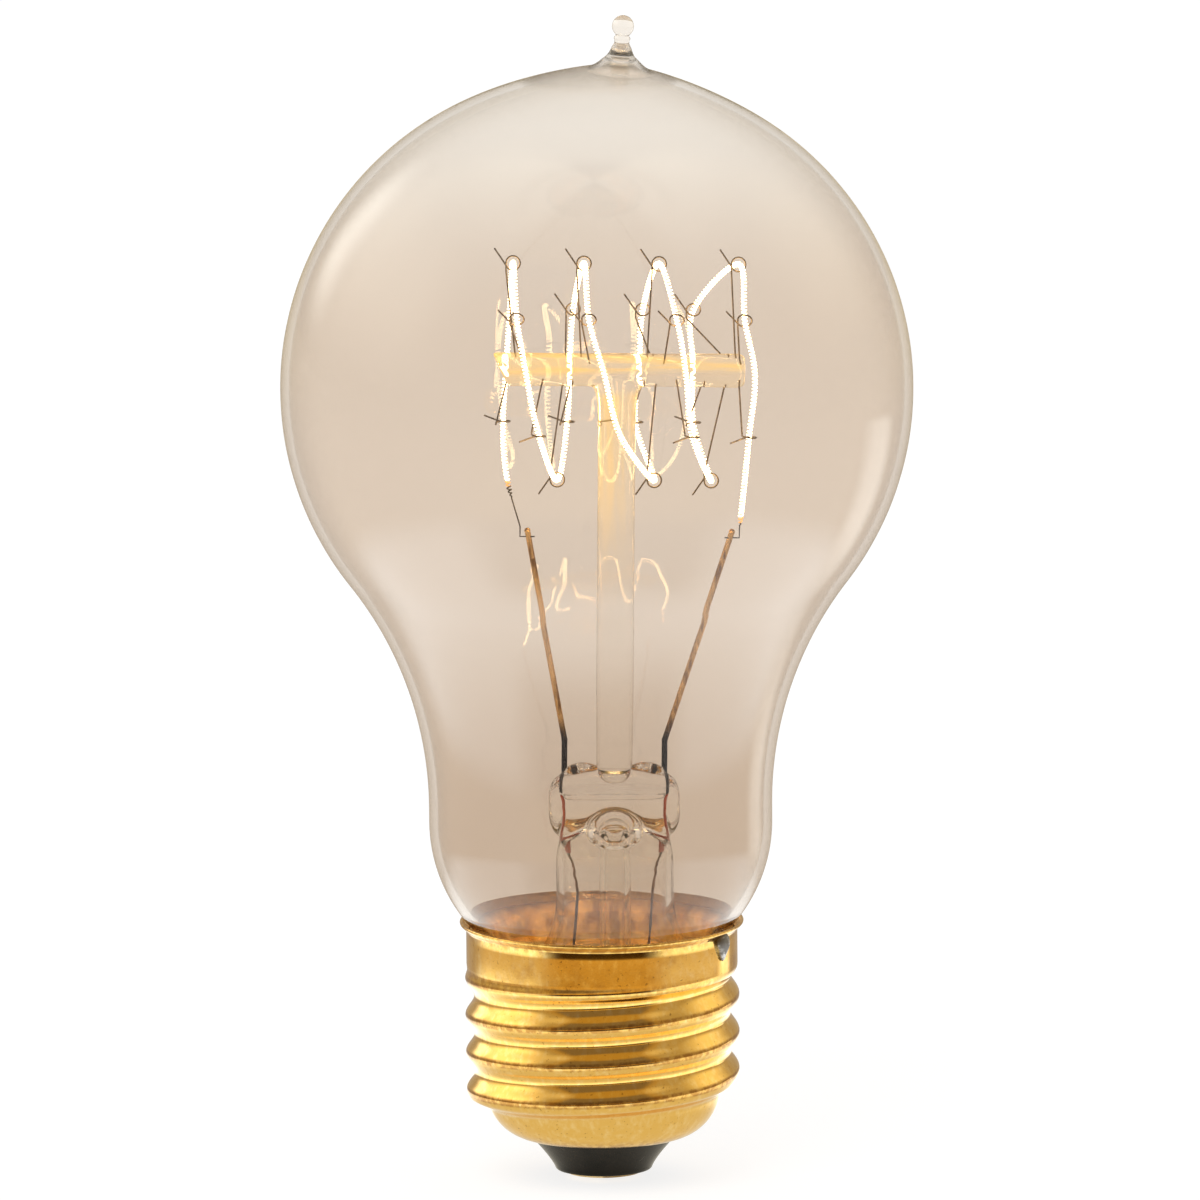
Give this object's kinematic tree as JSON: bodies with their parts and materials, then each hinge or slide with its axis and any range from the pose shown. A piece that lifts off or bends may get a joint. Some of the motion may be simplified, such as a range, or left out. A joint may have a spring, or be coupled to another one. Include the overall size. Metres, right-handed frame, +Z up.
{
  "type": "light bulb",
  "caption": "Antique-style tipped lamp: clear pear-shaped globe on a screw base, with a glass stem, a crossbar on a rod, and a looped coiled filament on wire supports.",
  "frame": {"origin": "tip of the centre contact, on the lamp's axis", "axes": "+Z up the lamp's axis from the base to the glass tip, +X along the crossbar to the viewer's right, the camera on the -Y side"},
  "size_m": [0.06, 0.06, 0.1118],
  "materials": {
    "envelope_glass": "blown clear glass with a warm tint",
    "stem_glass": "drawn and pressed clear glass",
    "mount_glass": "fire-polished glass rod",
    "shell_brass": "rolled brass sheet with brown patina",
    "eyelet_brass": "stamped brass",
    "insulator_glass": "glossy black vitrite glass",
    "solder": "dull tin solder",
    "cement": "baked golden basing cement",
    "lead_wire": "copper-plated iron wire, heat-blued below",
    "seal_wire": "copper-clad seal wire, red under glass",
    "outer_lead": "bare copper wire",
    "support_wire": "drawn molybdenum wire",
    "filament_wire": "coiled tungsten wire, lit"
  },
  "bodies": {
    "root": {"glass_envelope": "envelope_glass", "exhaust_tip": "envelope_glass", "screw_shell": "shell_brass", "base_insulator": "insulator_glass", "center_eyelet": "eyelet_brass", "center_solder": "solder", "side_solder": "solder", "base_cement": "cement", "stem_flare": "stem_glass", "stem_press": "stem_glass", "exhaust_tube": "stem_glass", "mount_rod": "mount_glass", "crossbar": "mount_glass", "lead_left": "lead_wire", "lead_right": "lead_wire", "seal_wire_left": "seal_wire", "seal_wire_right": "seal_wire", "center_lead": "outer_lead", "side_lead": "outer_lead", "filament": "filament_wire", "support_top_1": "support_wire", "support_top_2": "support_wire", "support_top_3": "support_wire", "support_top_4": "support_wire", "support_bottom_1": "support_wire", "support_bottom_2": "support_wire", "support_bottom_3": "support_wire", "guide_front_high_1": "support_wire", "guide_front_high_2": "support_wire", "guide_front_high_3": "support_wire", "guide_front_high_4": "support_wire", "guide_back_high_2": "support_wire", "guide_back_high_3": "support_wire", "guide_back_high_4": "support_wire", "guide_front_low_1": "support_wire", "guide_front_low_3": "support_wire", "guide_front_low_4": "support_wire", "guide_back_low_1": "support_wire", "guide_back_low_2": "support_wire", "guide_back_low_3": "support_wire", "guide_back_low_4": "support_wire"}
  },
  "joints": []
}
